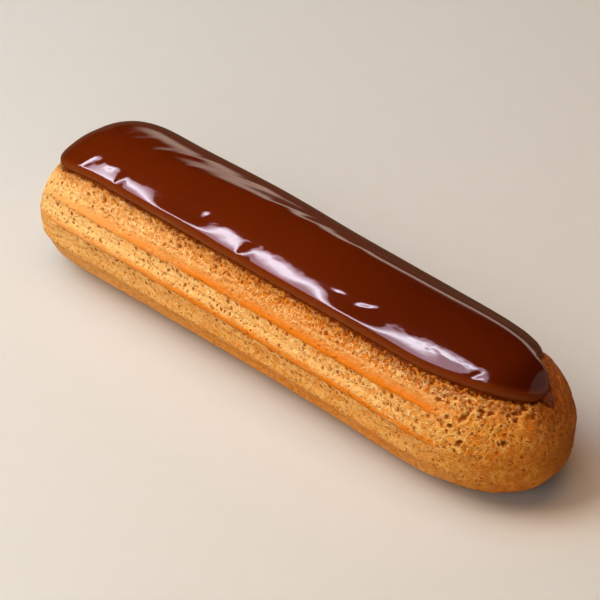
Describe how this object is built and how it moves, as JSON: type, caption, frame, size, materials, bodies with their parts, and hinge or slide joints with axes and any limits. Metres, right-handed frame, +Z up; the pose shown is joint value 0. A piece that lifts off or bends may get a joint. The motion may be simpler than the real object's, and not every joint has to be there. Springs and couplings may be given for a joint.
{
  "type": "chocolate eclair",
  "caption": "Whole oblong choux pastry with piped ridges along its sides and a glossy layer of dark chocolate glaze along its top.",
  "frame": {"origin": "on the surface the eclair rests on, under the middle of its length and width", "axes": "+X along the pastry to its longer, rounder end, +Z up through the glaze, +Y to the side where the glaze is thinner"},
  "size_m": [0.15, 0.0384, 0.0341],
  "materials": {
    "choux": "baked choux crust, golden brown, dry and finely porous",
    "chocolate": "dark chocolate glaze, smooth and glossy"
  },
  "bodies": {
    "root": {"choux_shell": "choux", "chocolate_glaze": "chocolate"}
  },
  "joints": []
}
